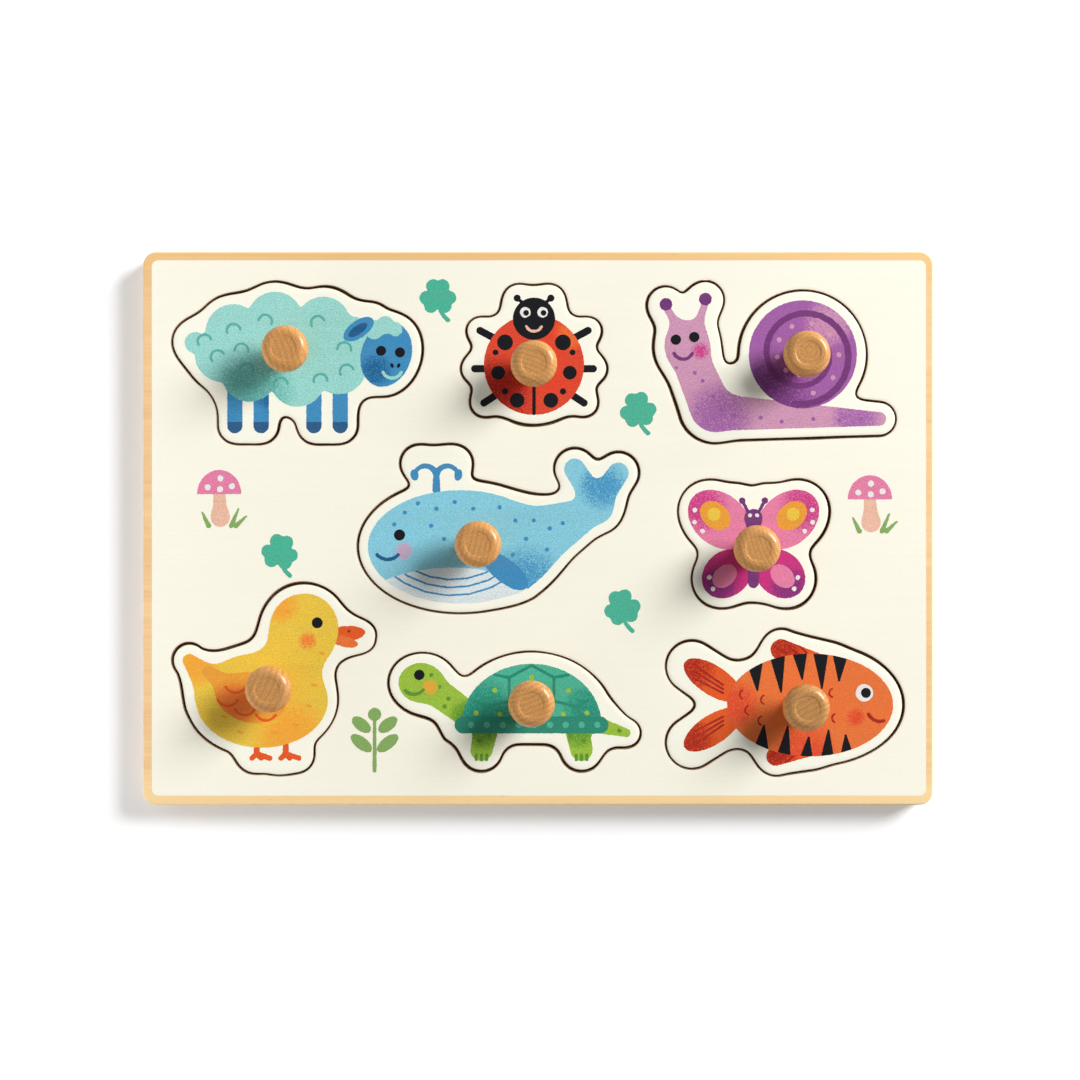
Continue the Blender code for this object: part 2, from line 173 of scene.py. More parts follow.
def bar(start, start_radius, end, end_radius):
    """A straight bar with round ends, which may differ in radius."""
    (x, y), (end_x, end_y) = start, end
    run_x, run_y = end_x - x, end_y - y
    span = run_x * run_x + run_y * run_y

    def distance(px, py):
        along = np.clip(((px - x) * run_x + (py - y) * run_y) / span, 0.0, 1.0)
        radius = start_radius + (end_radius - start_radius) * along
        return np.hypot(px - x - along * run_x, py - y - along * run_y) - radius

    return distance


def oval(x, y, half_length, half_height, turn=0.0):
    """An ellipse, turned anticlockwise by that many degrees."""
    cosine, sine = math.cos(math.radians(turn)), math.sin(math.radians(turn))

    def distance(px, py):
        along = (px - x) * cosine + (py - y) * sine
        across = (py - y) * cosine - (px - x) * sine
        scale = np.maximum(np.hypot(along / half_length, across / half_height), 1e-6)
        slope = np.maximum(np.hypot(along / half_length**2, across / half_height**2), 1e-9)
        near = scale * (scale - 1.0) / slope
        return np.where(scale < 0.02, -min(half_length, half_height), near)

    return distance


def together(*shapes):
    return lambda px, py: np.minimum.reduce([shape(px, py) for shape in shapes])


def common(*shapes):
    return lambda px, py: np.maximum.reduce([shape(px, py) for shape in shapes])


def grown(shape, distance):
    return lambda px, py: shape(px, py) - distance


def mirrored(*shapes):
    """The shapes' images on the other side of the line x = 0, and then the shapes."""
    images = [lambda px, py, shape=shape: shape(-px, py) for shape in shapes]
    return images + list(shapes)


def above(level, shape):
    """The part of a shape that lies above a level."""
    return lambda px, py: np.maximum(shape(px, py), level - py)


def blended(shapes, reach):
    """The shapes as one, with the hollows between them filled smoothly."""

    def distance(px, py):
        found = shapes[0](px, py)
        for shape in shapes[1:]:
            other = shape(px, py)
            overlap = np.maximum(reach - np.abs(found - other), 0.0) / reach
            found = np.minimum(found, other) - overlap * overlap * reach / 4.0
        return found

    return distance


def stroke(points, width, end_width=None):
    """A line drawn with a round brush. Its width may change evenly towards the end."""
    end_width = width if end_width is None else end_width
    count = len(points) - 1
    radii = [(width + (end_width - width) * i / count) / 2 for i in range(count + 1)]
    return together(*map(bar, points, radii, points[1:], radii[1:]))


def arc(x, y, radius, start, end, width, end_width=None):
    """A stroke along a circle, from one direction in degrees to another."""
    count = max(4, int(abs(end - start) / 12))
    turns = [math.radians(start + (end - start) * i / count) for i in range(count + 1)]
    points = [polar(radius, turn, x, y) for turn in turns]
    return stroke(points, width, end_width)


def dots(places, radius):
    return together(*[disc(x, y, radius) for x, y in places])


# From fields to lines and from lines to meshes.

# The sides at which a line enters and leaves a cell, by which of its four corners lie inside.
CELL_LINKS = (
    "", "BL", "RB", "RL", "TR", "BL TR", "TB", "TL", "LT", "BT", "RB LT", "RT", "LR", "BR", "LB",
)


def level_lines(field, low, high, pitch, ragged=0.0, seed=0):
    """The closed lines at which a field is zero, as lists of points, anticlockwise round it."""
    columns = np.arange(low[0], high[0] + pitch, pitch)
    rows = np.arange(low[1], high[1] + pitch, pitch)
    values = field(*np.meshgrid(columns, rows, indexing="ij"))
    if ragged:
        grain = np.random.default_rng(seed).standard_normal(values.shape)
        grain = grain + np.roll(grain, 1, 0) + np.roll(grain, 1, 1) + np.roll(grain, (1, 1), (0, 1))
        values = values + ragged * grain / 2
    values[[0, -1], :] = np.maximum(values[[0, -1], :], pitch)
    values[:, [0, -1]] = np.maximum(values[:, [0, -1]], pitch)
    inside = values < 0
    cases = inside[:-1, :-1] + 2 * inside[1:, :-1] + 4 * inside[1:, 1:] + 8 * inside[:-1, 1:]

    def crossing(i, j, side):
        """The edge of a cell as a key that its neighbour shares."""
        return {"B": (i, j, 0), "T": (i, j + 1, 0), "L": (i, j, 1), "R": (i + 1, j, 1)}[side]

    links = {}
    for i, j in np.argwhere((cases > 0) & (cases < 15)):
        for start, end in CELL_LINKS[cases[i, j]].split():
            links[crossing(i, j, start)] = crossing(i, j, end)

    def place(edge):
        i, j, upright = edge
        far_i, far_j = (i, j + 1) if upright else (i + 1, j)
        near, far = values[i, j], values[far_i, far_j]
        share = near / (near - far)
        width, height = columns[far_i] - columns[i], rows[far_j] - rows[j]
        return Vector((columns[i] + width * share, rows[j] + height * share))

    lines = []
    while links:
        first, edge = links.popitem()
        line = [place(first)]
        while edge != first:
            line.append(place(edge))
            edge = links.pop(edge)
        line = spaced(line, 0.4 * pitch)
        if len(line) > 5:
            lines.append(line)
    return lines


def spaced(line, least):
    """The line without the points that crowd the one before them."""
    kept = [line[0]]
    for point in line[1:]:
        if (point - kept[-1]).length > least and (point - line[0]).length > least:
            kept.append(point)
    return kept


def evened(line, step, rounds=2):
    """The line with its points spread evenly and slightly smoothed."""
    for _ in range(rounds):
        nexts = line[1:] + line[:1]
        line = [(line[i - 1] + 2 * point + nexts[i]) / 4 for i, point in enumerate(line)]
    nexts = line[1:] + line[:1]
    lengths = [(following - point).length for point, following in zip(line, nexts)]
    count = max(8, round(sum(lengths) / step))
    gap = sum(lengths) / count
    result, i, passed = [], 0, 0.0
    for k in range(count):
        while passed + lengths[i] < k * gap:
            passed += lengths[i]
            i += 1
        result.append(line[i].lerp(nexts[i], (k * gap - passed) / lengths[i]))
    return result


def outward(line):
    """The outward normals of a closed anticlockwise line."""
    normals = []
    for i in range(len(line)):
        along = line[(i + 2) % len(line)] - line[i - 2]
        normals.append(Vector((along.y, -along.x)).normalized())
    return normals


def wobbled(line, amount, seed):
    """The line moved in and out a little, slowly, as a cut wanders."""
    draw = np.random.default_rng(seed)
    waves = [(k, amount / math.sqrt(k), draw.uniform(0, math.tau)) for k in range(3, 16)]
    result = []
    for i, (point, normal) in enumerate(zip(line, outward(line))):
        turn = math.tau * i / len(line)
        shift = sum(size * math.sin(k * turn + start) for k, size, start in waves) / 2
        result.append(point + normal * shift)
    return result


def plate(name, edges, surfaces):
    """A flat solid bounded by closed lines, each with its own rings from the top face down.

    edges holds (line, rings, is_hole). A ring's outset is away from the wood, and its surface is
    the index of the material of the strip below it. The first material is the top face's and the
    last one the bottom's.
    """
    solid = bmesh.new()
    burn = solid.verts.layers.float.new("burn")
    tops, bottoms = [], []
    for line, rings, is_hole in edges:
        normals = outward(line)
        loops = []
        for ring in rings:
            outset = -ring.outset if is_hole else ring.outset
            loop = []
            for point, normal in zip(line, normals):
                place = point + normal * outset
                corner = solid.verts.new((place.x * MM, place.y * MM, ring.height * MM))
                corner[burn] = ring.burn
                loop.append(corner)
            loops.append(loop)
        for ring, upper, lower in zip(rings, loops, loops[1:]):
            for i in range(len(line)):
                face = solid.faces.new((upper[i - 1], lower[i - 1], lower[i], upper[i]))
                face.material_index = ring.surface
                face.smooth = True
        tops.append(loops[0])
        bottoms.append(loops[-1])
    for loops, surface in ((tops, 0), (bottoms, len(surfaces) - 1)):
        corners = [corner for loop in loops for corner in loop]
        for triangle in tessellate_polygon([[corner.co for corner in loop] for loop in loops]):
            if len({corners[i] for i in triangle}) == 3:
                face = solid.faces.new([corners[i] for i in triangle])
                face.material_index = surface
    bmesh.ops.recalc_face_normals(solid, faces=solid.faces)
    return finished(name, solid, surfaces)


def placed(name, data, place=(0.0, 0.0, 0.0)):
    """An object for the data, in the scene and at that place."""
    thing = bpy.data.objects.new(name, data)
    thing.location = place
    bpy.context.scene.collection.objects.link(thing)
    return thing


def finished(name, solid, surfaces):
    mesh = bpy.data.meshes.new(name)
    solid.to_mesh(mesh)
    solid.free()
    for surface in surfaces:
        mesh.materials.append(surface)
    mesh.set_sharp_from_angle(angle=math.radians(50))
    return placed(name, mesh)


def slab_mesh(name, lines, low, high):
    """Closed lines filled and given a thickness, in metres. A line inside another is a hole."""
    curve = bpy.data.curves.new(name, "CURVE")
    curve.dimensions = "2D"
    curve.fill_mode = "BOTH"
    curve.extrude = (high - low) * MM / 2
    for line in lines:
        spline = curve.splines.new("POLY")
        spline.points.add(len(line) - 1)
        for point, place in zip(spline.points, line):
            point.co = (place.x * MM, place.y * MM, 0.0, 1.0)
        spline.use_cyclic_u = True
    drawn = placed(name, curve)
    bpy.context.view_layer.update()
    seen = drawn.evaluated_get(bpy.context.evaluated_depsgraph_get())
    mesh = bpy.data.meshes.new_from_object(seen)
    bpy.data.objects.remove(drawn)
    solid = bmesh.new()
    solid.from_mesh(mesh)
    bmesh.ops.remove_doubles(solid, verts=solid.verts, dist=2e-7)
    bmesh.ops.translate(solid, verts=solid.verts, vec=(0, 0, (low + high) * MM / 2))
    bmesh.ops.recalc_face_normals(solid, faces=solid.faces)
    solid.to_mesh(mesh)
    solid.free()
    return mesh


def print_inks(name, inks, low, high, place, top):
    """All the inks of one drawing as one piece, each layer a little above the one before."""
    joined = bmesh.new()
    surfaces = []
    for layer, ink in enumerate(inks):
        seed = sum(map(ord, name)) + layer
        ragged = BLACK_RAGGED if ink.colour == "black" else RAGGED
        lines = level_lines(ink.shape, low, high, INK_PITCH, ragged, seed)
        lines = [[point + place for point in line] for line in lines]
        mesh = slab_mesh(f"{name}_{layer}", lines, top - INK_SINK, top + INK_STEP * (layer + 1))
        surface = ink_material(ink, place)
        if surface not in surfaces:
            surfaces.append(surface)
        first = len(joined.faces)
        joined.from_mesh(mesh)
        joined.faces.ensure_lookup_table()
        for face in joined.faces[first:]:
            face.material_index = surfaces.index(surface)
        bpy.data.meshes.remove(mesh)
    return finished(name, joined, surfaces)


# Materials.


class Surface:
    """One material, and short ways to add nodes to it."""

    def __init__(self, name, roughness, specular=0.5, metallic=0.0):
        self.material = bpy.data.materials.new(name)
        self.material.use_nodes = True
        self.tree = self.material.node_tree
        self.shader = self.tree.nodes["Principled BSDF"]
        self.set("Roughness", roughness)
        self.set("Specular IOR Level", specular)
        self.set("Metallic", metallic)
        self.place = self.add("ShaderNodeTexCoord").outputs["Object"]

    def feed(self, socket, value):
        """Links a socket to the one that its value comes from, or gives it a fixed value."""
        if isinstance(value, bpy.types.NodeSocket):
            self.tree.links.new(value, socket)
        else:
            socket.default_value = value

    def add(self, kind, inputs=None, **settings):
        node = self.tree.nodes.new(kind)
        for key, value in settings.items():
            setattr(node, key, value)
        for key, value in (inputs or {}).items():
            self.feed(node.inputs[key], value)
        return node

    def set(self, key, value):
        self.feed(self.shader.inputs[key], value)

    def stretched(self, scale, location=(0, 0, 0)):
        inputs = {"Vector": self.place, "Scale": scale, "Location": location}
        return self.add("ShaderNodeMapping", inputs).outputs["Vector"]

    def distance_from(self, x, y):
        """The distance from a point as seen from above, in metres."""
        flat = self.stretched((1, 1, 0), (-x, -y, 0))
        return self.add("ShaderNodeVectorMath", {0: flat}, operation="LENGTH").outputs["Value"]

    def place_along(self, axis):
        return self.add("ShaderNodeSeparateXYZ", {0: self.place}).outputs[axis]

    def noise(self, scale, detail=2.0, roughness=0.5, distortion=0.0):
        """Noise of one scale, or of a scale for each axis."""
        streaky = isinstance(scale, tuple)
        inputs = {
            "Vector": self.stretched(scale) if streaky else self.place,
            "Scale": 1.0 if streaky else scale,
            "Detail": detail, "Roughness": roughness, "Distortion": distortion,
        }
        return self.add("ShaderNodeTexNoise", inputs).outputs["Fac"]

    def spread(self, value, low, high, to_low=0.0, to_high=1.0):
        """A value between two limits mapped onto another range, and held at its ends."""
        inputs = {"Value": value, "From Min": low, "From Max": high, "To Min": to_low, "To Max": to_high}
        return self.add("ShaderNodeMapRange", inputs).outputs["Result"]

    def maths(self, operation, first, second):
        return self.add("ShaderNodeMath", {0: first, 1: second}, operation=operation).outputs[0]

    def mix(self, factor, first, second):
        """Two colours mixed. A Mix node has its colours in the sockets 6 and 7."""
        inputs = {0: factor, 6: rgba(first), 7: rgba(second)}
        return self.add("ShaderNodeMix", inputs, data_type="RGBA").outputs[2]

    def toned(self, colour, tone, value, low, high, share=1.0):
        """A colour mixed with a tone: none of it where the value is low, and that share at high."""
        return self.mix(self.spread(value, low, high, 0.0, share), colour, tone)

    def bump(self, height, strength, depth):
        inputs = {"Height": height, "Strength": strength, "Distance": depth}
        self.set("Normal", self.add("ShaderNodeBump", inputs).outputs["Normal"])


def rgba(colour):
    return (*colour, 1.0) if isinstance(colour, tuple) and len(colour) == 3 else colour


def scaled(colour, factor):
    return tuple(min(1.0, part * factor) for part in colour)


def veneer_lines(surface):
    """The fine lines of the veneer, which run along the board and show through the print."""
    fine = surface.noise((14.0, 1500.0, 300.0), 3.0, 0.6)
    broad = surface.noise((6.0, 260.0, 60.0))
    return surface.maths("ADD", fine, surface.maths("MULTIPLY", broad, 0.6))


def printed(surface, colour, speckle, grain):
    """A printed colour with the speckle of its screen, over the lines of the veneer."""
    specks, clouds = surface.noise(2100.0, 2.0, 0.8), surface.noise(160.0, 3.0)
    mixed = surface.toned(scaled(colour, 1 - speckle), scaled(colour, 1 + speckle), specks, 0.3, 0.7)
    mixed = surface.toned(mixed, colour, clouds, 0.3, 0.7, 0.35)
    lines = veneer_lines(surface)
    surface.bump(lines, 0.12, 0.0001)
    return surface.toned(mixed, (0.33, 0.22, 0.12), lines, 0.62, 1.05, grain)


made = {}  # the inks' materials by key


def ink_material(ink, place):
    """A colour's material. Its shades are soft, grainy patches of a second colour."""
    key = ink.colour if not ink.shades else f"{ink.colour}_{len(made)}"
    if key in made:
        return made[key]
    surface = Surface("ink_" + key, 0.55, 0.05)
    veneer_share = 0.0 if ink.colour == "black" else 0.10
    result = printed(surface, linear(PALETTE[ink.colour]), 0.3, veneer_share)
    for shade in ink.shades:
        distance = surface.distance_from((shade.x + place.x) * MM, (shade.y + place.y) * MM)
        inner, outer = 0.3 * shade.radius * MM, 1.25 * shade.radius * MM
        near = surface.spread(distance, inner, outer, 1.0, 0.0)
        grains = surface.spread(surface.noise(2300.0, 1.0, 0.8), 0.3, 0.7, 0.1, 1.9)
        patch = surface.maths("MULTIPLY", near, grains)
        result = surface.toned(result, linear(PALETTE[shade.colour]), patch, 0.15, 0.8, 0.9)
    surface.set("Base Color", result)
    made[key] = surface.material
    return surface.material


def paper_material(name, colour):
    """The pale printed ground, scorched brown towards the cut."""
    surface = Surface(name, 0.5, 0.15)
    result = printed(surface, linear(PALETTE[colour]), 0.035, 0.025)
    burn = surface.add("ShaderNodeAttribute", attribute_name="burn").outputs["Fac"]
    patchy = surface.spread(surface.noise(220.0, 3.0), 0.3, 0.75, 0.5, 1.0)
    halo = surface.maths("MULTIPLY", surface.spread(burn, 0.0, 0.4, 0.0, 0.65), patchy)
    result = surface.mix(halo, result, (0.86, 0.62, 0.44))
    surface.set("Base Color", surface.toned(result, (0.115, 0.065, 0.036), burn, 0.4, 0.65))
    return surface.material


def bare_wood(name, light, dark, strips=()):
    """Birch veneer with long streaks and short pores.

    A strip is where its tone starts and where it is full, in metres across the grain, with its
    share and its colour.
    """
    surface = Surface(name, 0.6, 0.25)
    streaks = surface.noise((9.0, 420.0, 420.0), 4.0, 0.65, 0.4)
    broad = surface.noise((3.0, 60.0, 60.0), 2.0, 0.5, 0.8)
    pores = surface.noise((160.0, 3200.0, 3200.0), 2.0, 0.6)
    colour = surface.toned(light, dark, streaks, 0.3, 0.72)
    colour = surface.toned(colour, scaled(dark, 0.92), broad, 0.35, 0.75, 0.45)
    across = surface.place_along("Y")
    for start, full, share, tone in strips:
        colour = surface.toned(colour, tone, across, start, full, share)
    surface.set("Base Color", surface.toned(colour, scaled(dark, 0.45), pores, 0.66, 0.76, 0.35))
    surface.bump(surface.maths("ADD", streaks, pores), 0.2, 0.0001)
    return surface.material


def ply_edge(name, bottom, top, layers):
    """The edge of plywood: layers whose grain runs along the edge and across it by turns."""
    surface = Surface(name, 0.7)
    wavy = surface.maths("MULTIPLY", surface.noise(35.0, 1.0), 0.0003)
    height = surface.maths("ADD", surface.place_along("Z"), wavy)
    ramp = surface.add("ShaderNodeValToRGB", {0: surface.spread(height, bottom * MM, top * MM)})
    ramp.color_ramp.interpolation = "CONSTANT"
    along, across = (0.80, 0.56, 0.30), (0.47, 0.27, 0.12)
    stops = ramp.color_ramp.elements
    for i in range(layers):
        stop = stops[i] if i < 2 else stops.new(i / layers)
        stop.position = i / layers
        stop.color = rgba(along if i % 2 == 0 else across)
    streaks = surface.noise((260.0, 260.0, 2600.0), 3.0, 0.6)
    specks = surface.noise(1900.0, 2.0)
    colour = surface.toned(ramp.outputs[0], (0.36, 0.20, 0.09), streaks, 0.35, 0.7, 0.4)
    surface.set("Base Color", surface.toned(colour, (0.25, 0.13, 0.06), specks, 0.55, 0.72, 0.35))
    surface.bump(specks, 0.25, 0.0002)
    return surface.material


def burnt_edge():
    """Plywood darkened by the heat of the cut, with its layers just showing."""
    surface = Surface("burnt_edge", 0.75)
    soot = surface.noise(700.0, 3.0, 0.7)
    layers = surface.noise((20.0, 20.0, 900.0), 1.0)
    colour = surface.toned((0.16, 0.09, 0.048), (0.34, 0.21, 0.12), soot, 0.3, 0.7)
    surface.set("Base Color", surface.toned(colour, (0.48, 0.33, 0.19), layers, 0.5, 0.7, 0.5))
    surface.bump(soot, 0.3, 0.0002)
    return surface.material


def beech(name, pith, tone, spacing):
    """Beech under gloss varnish: growth rings about the pith, clouds of tone and short pores.

    pith is the middle of the growth rings, in metres, on the turned piece's end.
    """
    surface = Surface(name, 0.38, 0.3)
    inputs = {
        "Vector": surface.stretched((1, 1, 0.04), (-pith[0], -pith[1], 0)),
        "Scale": 1 / (3.2 * spacing),
        "Distortion": 1.6, "Detail": 3.0, "Detail Scale": 0.6, "Detail Roughness": 0.6,
    }
    kinds = {"wave_type": "RINGS", "rings_direction": "Z", "wave_profile": "SAW"}
    rings = surface.add("ShaderNodeTexWave", inputs, **kinds).outputs["Fac"]
    clouds = surface.noise(240.0, 3.0)
    pores = surface.noise((1400.0, 1400.0, 150.0), 2.0, 0.8)
    base, late, warm = (
        scaled(colour, tone)
        for colour in ((0.63, 0.298, 0.080), (0.33, 0.135, 0.038), (0.67, 0.36, 0.125))
    )
    colour = surface.toned(base, late, rings, 0.45, 1.0, 0.55)
    colour = surface.toned(colour, warm, clouds, 0.3, 0.75, 0.25)
    surface.set("Base Color", surface.toned(colour, late, pores, 0.44, 0.64, 0.6))
    surface.set("Coat Weight", 0.25)
    surface.set("Coat Roughness", 0.09)
    surface.set("Coat IOR", 1.5)
    surface.bump(pores, 0.06, 0.0001)
    return surface.material


def zinc():
    surface = Surface("zinc_plated_steel_surface", 0.32, metallic=1.0)
    blotches = surface.noise(500.0, 3.0)
    surface.set("Base Color", surface.mix(blotches, (0.55, 0.56, 0.60), (0.72, 0.71, 0.66)))
    surface.bump(surface.noise(2200.0, 2.0), 0.08, 0.0001)
    return surface.material


# The eight figures. Each gives the shapes of its outline, as the CAD has them, and its inks.


def smile(x, y, radius, width=1.25):
    return arc(x, y, radius, 205, 335, width)


def fill(shapes, colour, *shades):
    """A layer of ink over a shape or several. Each shade is a patch's x, y, radius and colour."""
    shape = shapes if callable(shapes) else together(*shapes)
    return Ink(shape, colour, [Shade(*shade) for shade in shades])


def cheek(x, y, radius, colour, tone):
    return fill(disc(x, y, radius), colour, (x, y, radius - 0.1, tone))


def draw_sheep():
    puffs = [oval(-7, 4, 26, 14)]
    for i in range(8):
        turn = math.radians(10) + math.tau * i / 8
        puffs.append(disc(-7 + 24.5 * math.cos(turn), 4 + 11.5 * math.sin(turn), 10.5))
    legs = [bar((x, -12), 3.4, (x, -25), 3.2) for x in (-26, -17, 4, 13)]
    face = oval(31, 2, 9.5, 12.5, -18)
    ear = oval(21, 12, 7, 3.6, 35)
    tail = disc(-42, 7, 4.5)
    outline = puffs + legs + [face, ear, tail]
    thin_legs = [bar((x, -12), 2.9, (x, -25), 2.9) for x in (-26.5, -16.5, 3.5, 13.5)]
    hooves = common(together(*thin_legs), lambda px, py: py + 23.6)
    fringe = [disc(26.4, 11.4, 3.6), disc(30.6, 13.2, 3.4), disc(34.4, 11.6, 2.7)]
    curls = [
        arc(x, y, 2.6, turn, turn + 190, 0.95)
        for x, y, turn in (
            (-27, 11, 10), (-15, 14.5, 340), (5, 14, 20), (15, 4, 350), (-33, 1, 30), (-22, -4, 340),
            (-9, -9.5, 10), (6, -8, 0), (16, -4.5, 20), (-38, 7, 20), (-24, 3.5, 350),
        )
    ]
    return outline, [
        fill(thin_legs, "blue", (-10, -12, 9, "navy")),
        fill(hooves, "navy"),
        fill(blended(puffs + [disc(-41.5, 6.5, 4)], 1.6), "aqua", (-20, -12, 16, "deep_aqua")),
        fill(curls, "deep_aqua"),
        fill(face, "blue", (27, -4, 6, "navy")),
        fill(blended(fringe, 1.0), "aqua"),
        fill(oval(20.5, 11.6, 6.6, 3.3, 35), "blue"),
        fill(oval(20.2, 11.3, 4.2, 1.7, 35), "navy"),
        fill(dots([(29, 3.4), (36.2, 2.8)], 1.9), "black"),
        fill(smile(33.2, -3.2, 3.8), "aqua"),
        fill([oval(33.2, -2.2, 0.6, 0.9, 20), oval(35.7, -2.2, 0.6, 0.9, -20)], "black"),
    ]


def draw_ladybird():
    back, head = disc(0, -2.5, 19), disc(0, 15, 8)
    legs = mirrored(
        bar((14, 7), 1.4, (20.5, 10.5), 1.4),
        bar((17, -4), 1.4, (22.5, -4), 1.4),
        bar((13, -13), 1.4, (19, -17), 1.4),
    )
    outline = [back, head] + mirrored(bar((3, 20), 0.9, (6.5, 23), 0.9)) + legs
    feelers = mirrored(bar((3, 20), 0.65, (6, 22.4), 0.65), disc(6.4, 22.8, 1.35))
    parting = bar((0, 13), 0.65, (0, -21), 0.65)
    spots = mirrored(
        disc(11, 6, 3), disc(13.6, -5.5, 2.6), disc(6.4, -16, 2.8),
        disc(14.6, 2.2, 1.1), disc(11, -12.6, 1.2),
    )
    return outline, [
        fill(legs + feelers, "black"),
        fill(back, "red", (-15, -14, 15, "dark_red"), (14, 9, 6, "orange")),
        fill([parting] + spots, "black"),
        fill(head, "black"),
        fill(dots([(-3.3, 17.4), (3.3, 17.4)], 2.0), "white"),
        fill(dots([(-3.0, 17.2), (3.6, 17.2)], 1.1), "black"),
        fill(smile(0, 13.4, 3.2, 1.05), "peach"),
    ]


def draw_snail():
    shell = disc(10, 4, 20.5)
    foot = bar((39, -20.5), 2.6, (-22, -18), 7)
    neck = bar((-25, -16), 8, (-33, 3), 7)
    chest = disc(-14, -11, 6.5)
    head = disc(-34, 8, 8.5)
    horns = [bar((-37, 14), 1.6, (-42, 22), 1.3), bar((-30, 14), 1.6, (-27, 24), 1.3)]
    balls = [disc(-42, 23, 2.4), disc(-27, 25, 2.4)]
    outline = [shell, foot, neck, chest, head, horns[0], balls[0], horns[1], balls[1]]
    body = blended([foot, neck, head] + horns, 4.5)
    turns = 2.3

    def on_shell(share, radius):
        """A point on the shell, by its share of the spiral's turns."""
        return polar(radius, math.radians(-100) + math.tau * turns * share, 10, 4)

    spiral = [on_shell(i / 60, 19.2 * (1 - i / 60) ** 0.8) for i in range(61)]
    specks = []
    for i in range(11):
        share = 0.03 + 0.045 * i
        radius = 9.6 * ((1 - share) ** 0.8 + max(0.0, 1 - share - 1 / turns) ** 0.8)
        specks.append(on_shell(share, radius))
    freckles = [
        (-28, -6), (-24, -12), (-31, -3), (-16, -19), (-6, -20), (2, -21.5), (14, -20.5), (24, -21),
        (32, -20.5),
    ]
    return outline, [
        fill(body, "lilac", (-22, -20, 13, "purple"), (30, -20, 9, "purple")),
        fill(balls, "dark_purple"),
        fill(shell, "purple", (-2, -12, 15, "dark_purple"), (20, 16, 9, "lilac")),
        fill(stroke(spiral, 2.6, 1.6), "dark_purple"),
        fill(dots(specks, 0.95), "lilac"),
        fill([dots(freckles, 0.75), dots([(-38, -1), (-21, -17)], 0.6)], "purple"),
        cheek(-28.8, 5.4, 3.4, "lilac", "magenta"),
        fill(dots([(-38.2, 9.6), (-31.2, 10.6)], 1.95), "black"),
        fill(smile(-35.4, 6, 3.8), "dark_purple"),
    ]


def draw_whale():
    body = oval(-13, -5, 35, 21.5)
    tail = bar((6, -6), 15, (38, 9), 5)
    flukes = [bar((39, 11), 4.5, tip, 4) for tip in ((47, 23), (30.5, 24.5))]
    spout = bar((-22, 15), 1.6, (-22, 26), 1.6)
    drops = [disc(x, 26.5, 3.4) for x in (-28.5, -15.5)]
    outline = [body, tail, spout] + flukes + drops
    skin = blended([body, tail] + flukes, 5.0)
    belly = common(skin, oval(-19, -29, 35, 16, 3))
    grooves = [arc(-16, 14, radius, 228, 306, 0.7) for radius in (31.5, 34.5, 37.5)]
    spray = [
        bar((-22, 16.5), 1.5, (-22, 21), 1.3),
        arc(-26.2, 21.5, 4.2, 5, 150, 2.4, 1.6),
        arc(-17.8, 21.5, 4.2, 175, 30, 2.4, 1.6),
        oval(-30.3, 22.3, 1.5, 2.2, 10),
        oval(-13.7, 22.3, 1.5, 2.2, -10),
    ]
    back_dots = [
        (-34, 8), (-29, 11.5), (-22, 9.5), (-15, 12), (-8, 9.5), (2, 10), (8, 5), (15, 5), (21, 2),
        (-38, 3.5), (12, -2), (7, -8), (20, -6), (26, 4), (-24, 3), (-19, -2),
    ]
    return outline, [
        fill(spray, "blue"),
        fill(skin, "sky", (12, -20, 15, "blue"), (41, 18, 9, "blue")),
        fill(belly, "pale_sky"),
        fill(common(belly, together(*grooves)), "blue"),
        fill(blended([oval(4, -14, 10.5, 4.4, -38), disc(8.5, -17.5, 3)], 2.0), "blue"),
        fill(dots(back_dots, 0.8), "blue"),
        cheek(-34.5, -6.5, 3.8, "sky", "lilac"),
        fill(disc(-36, -0.5, 2.1), "black"),
        fill(arc(-40.5, -4.4, 5.4, 222, 318, 1.3), "navy"),
    ]


def draw_butterfly():
    body = bar((0, 10), 2.8, (0, -14), 2)
    upper, lower = oval(13, 10, 13.2, 9.8, 40), oval(10, -10.5, 10.5, 8.5, -42)
    outline = [body] + mirrored(upper, lower, bar((1, 12), 0.9, (4.5, 18), 0.9))
    edge_dots = [(19.4, 5.6), (22.4, 9), (22.3, 13.6), (15.4, -16.3), (16.8, -12)]
    feelers = mirrored(bar((1, 11), 0.6, (4, 16.6), 0.6), disc(4.3, 17.2, 1.2))
    return outline, [
        fill(mirrored(lower), "magenta", (-14, -16, 8, "dark_purple"), (14, -16, 8, "dark_purple")),
        fill(mirrored(upper), "pink", (-20, 15, 10, "magenta"), (20, 15, 10, "magenta")),
        fill(mirrored(oval(14.5, 11.5, 6.4, 4.8, 40)), "amber"),
        fill(mirrored(oval(11, -11.5, 5.2, 3.8, -42)), "pink"),
        fill(mirrored(disc(15, 12, 2.5)), "yellow"),
        fill(mirrored(dots(edge_dots, 0.9)), "white"),
        fill(feelers, "dark_purple"),
        fill(blended([body, disc(0, 10.6, 3.4)], 1.0), "dark_purple"),
        fill(dots([(-1.35, 11.6), (1.35, 11.6)], 0.75), "white"),
    ]


